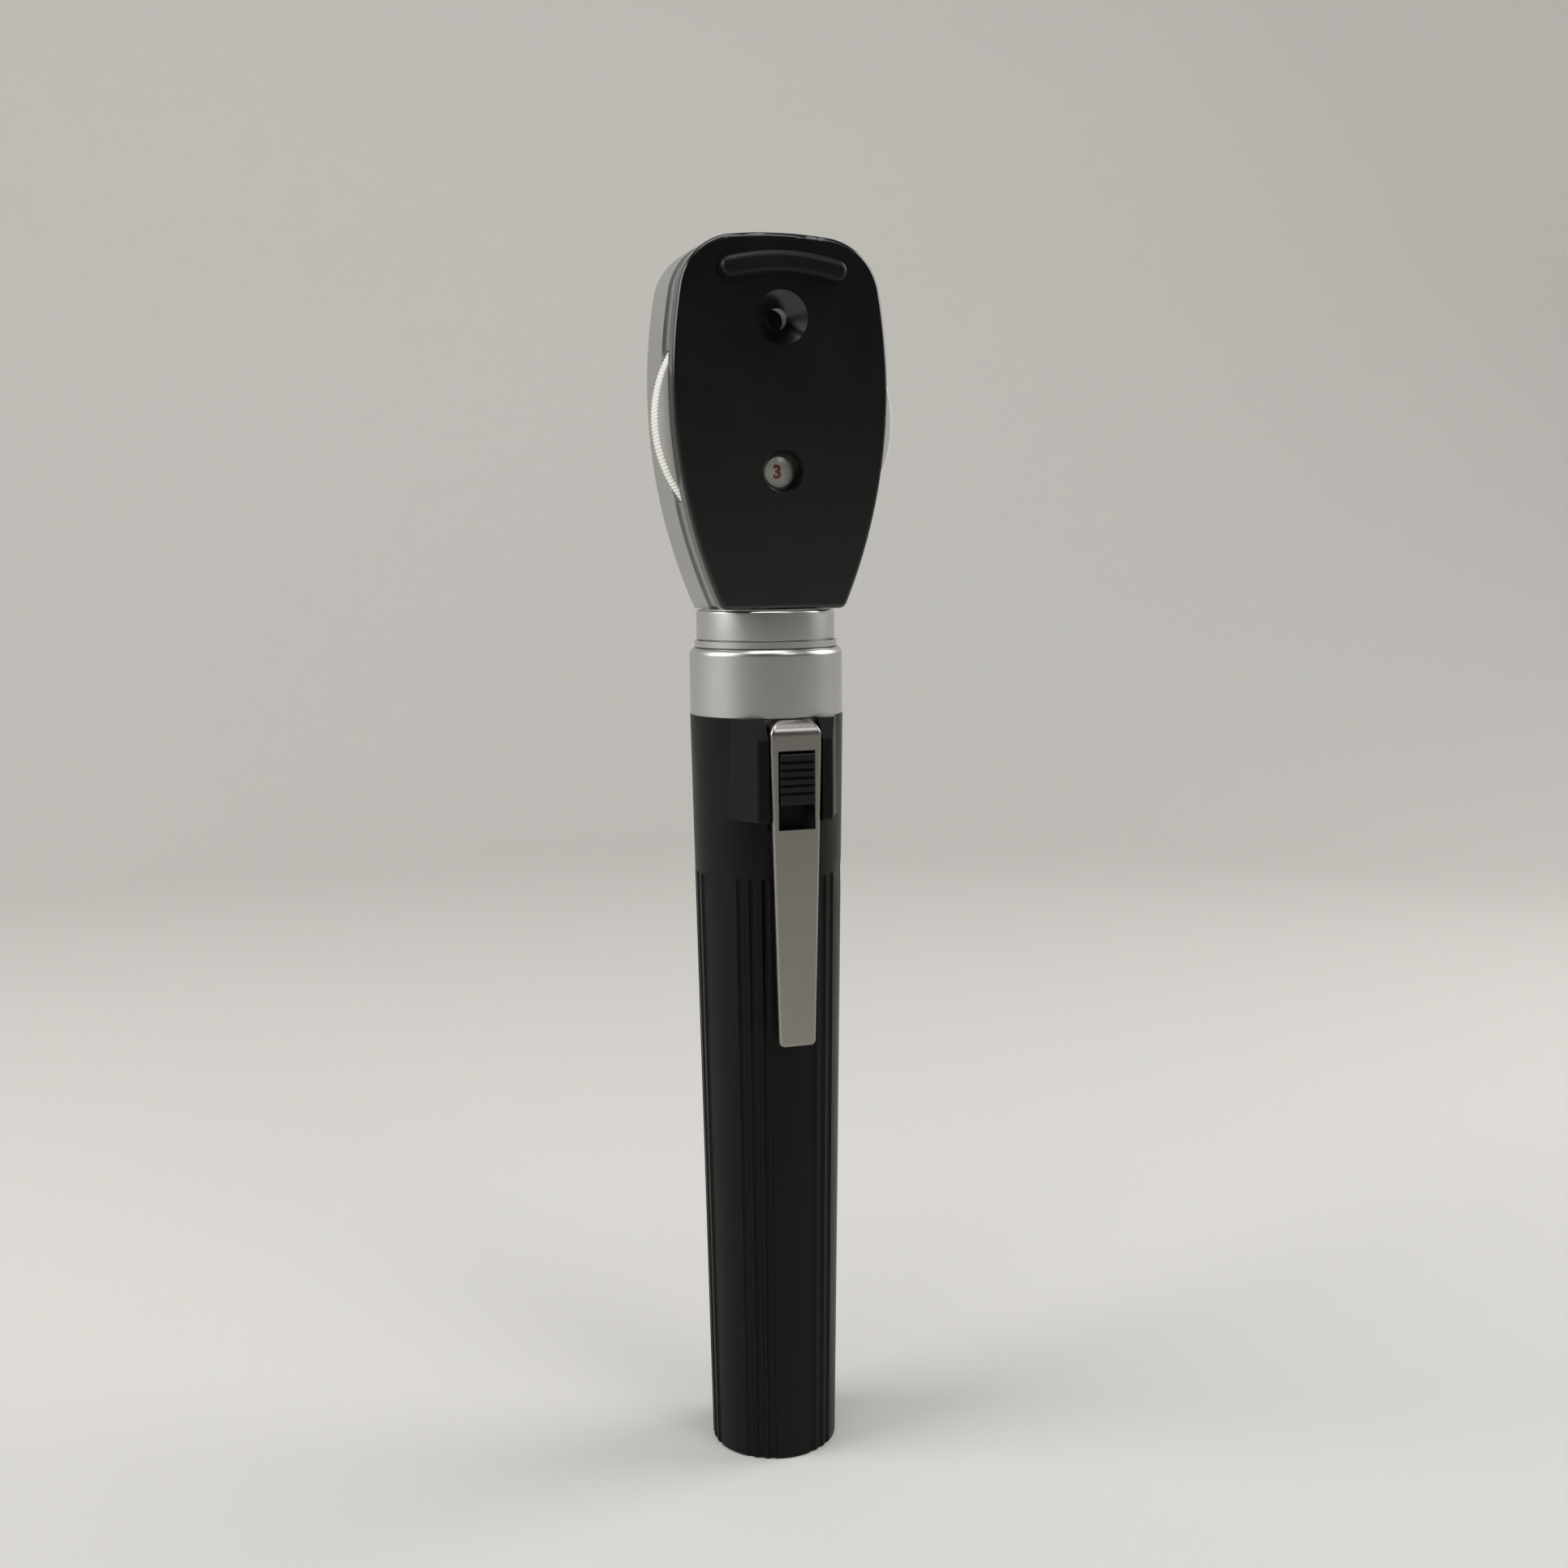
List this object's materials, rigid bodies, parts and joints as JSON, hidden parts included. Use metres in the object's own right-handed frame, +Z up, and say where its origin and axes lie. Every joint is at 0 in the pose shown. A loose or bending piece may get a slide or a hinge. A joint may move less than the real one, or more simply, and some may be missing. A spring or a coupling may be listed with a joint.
{
  "type": "direct ophthalmoscope",
  "caption": "Hand-held eye-examining lamp: round battery handle with slide switch and pocket clip, screw-on flat head with a lens wheel, sight hole, mirror and brow rest.",
  "frame": {"origin": "centre of the handle's flat foot", "axes": "+Z up the handle to the head, -Y towards the examiner (switch, clip and sight hole), +Y towards the patient"},
  "size_m": [0.0328, 0.0235, 0.1663],
  "materials": {
    "handle_plastic": "fine satin black moulded plastic",
    "black_gloss_plastic": "polished black moulded plastic",
    "black_matte_plastic": "matt black moulded plastic",
    "white_plastic": "white moulded plastic",
    "soft_rest": "soft dark grey rubber",
    "satin_aluminium": "bead blasted and anodised",
    "satin_nickel": "satin nickel plate",
    "spring_steel": "polished spring steel",
    "steel": "turned steel",
    "brass": "plain turned brass",
    "cell_jacket": "plastic sleeve over a steel can, weighed as a whole cell",
    "blackened_aluminium": "black anodised",
    "clear_glass": "clear polished glass",
    "clear_plastic": "clear moulded plastic",
    "green_glass": "green filter glass",
    "mirror_glass": "front-silvered glass"
  },
  "bodies": {
    "handle": {"handle_tube": "handle_plastic", "neck_sleeve": "satin_nickel", "contact_strip": "brass", "bottom_contact": "brass", "bottom_spring": "steel", "battery_lower": "cell_jacket", "battery_upper": "cell_jacket"},
    "switch": {"switch_slider": "black_matte_plastic", "switch_contact": "brass"},
    "clip": {"pocket_clip": "spring_steel"},
    "washer": {"neck_washer": "satin_nickel"},
    "head": {"head_collar": "satin_nickel", "collar_nut": "brass", "contact_carrier": "black_matte_plastic", "centre_contact": "brass", "contact_spring": "steel", "lamp_socket": "brass", "lamp_base": "brass", "lamp_bulb": "clear_glass", "lamp_filament": "steel", "front_casing": "satin_aluminium", "back_plate": "black_gloss_plastic", "brow_rest": "soft_rest", "index_window": "clear_plastic", "casing_screws": "steel", "wheel_axle": "steel", "click_ball": "steel", "optics_tube": "blackened_aluminium", "condenser_lens": "clear_glass", "objective_lens": "clear_glass", "mirror_mount": "blackened_aluminium", "mirror": "mirror_glass", "aperture_axle": "steel", "front_window": "clear_glass", "window_bezel": "black_matte_plastic"},
    "dial": {"lens_wheel": "white_plastic", "wheel_lenses": "clear_glass"},
    "aperture": {"aperture_wheel": "black_matte_plastic", "aperture_disc": "blackened_aluminium", "green_filter": "green_glass"}
  },
  "joints": [
    {"name": "switch_slide", "type": "slide", "parent": "handle", "child": "switch", "axis": [0, 0, -1], "range_m": [0, 0.0032]},
    {"name": "clip_flex", "type": "hinge", "parent": "handle", "child": "clip", "pos_m": [0, -0.0092, 0.1034], "axis": [-1, 0, 0], "range_deg": [0, 2.5], "stiffness_Nm_per_rad": 2.9},
    {"name": "head_lift", "type": "slide", "parent": "handle", "child": "washer", "axis": [0, 0, 1], "range_m": [0, 0.0044]},
    {"name": "head_unscrew", "type": "hinge", "parent": "washer", "child": "head", "pos_m": [0, 0, 0.113], "axis": [0, 0, 1], "range_deg": [0, 1440]},
    {"name": "lens_wheel_turn", "type": "hinge", "parent": "head", "child": "dial", "pos_m": [0, -0.0044, 0.14289], "axis": [0, -1, 0], "continuous": true},
    {"name": "aperture_turn", "type": "hinge", "parent": "head", "child": "aperture", "pos_m": [0, 0.0041, 0.1342], "axis": [0, 0, 1], "continuous": true}
  ],
  "couplings": [
    {"joint": "head_lift", "follows": "head_unscrew", "m_per_rad": 0.00017507}
  ]
}
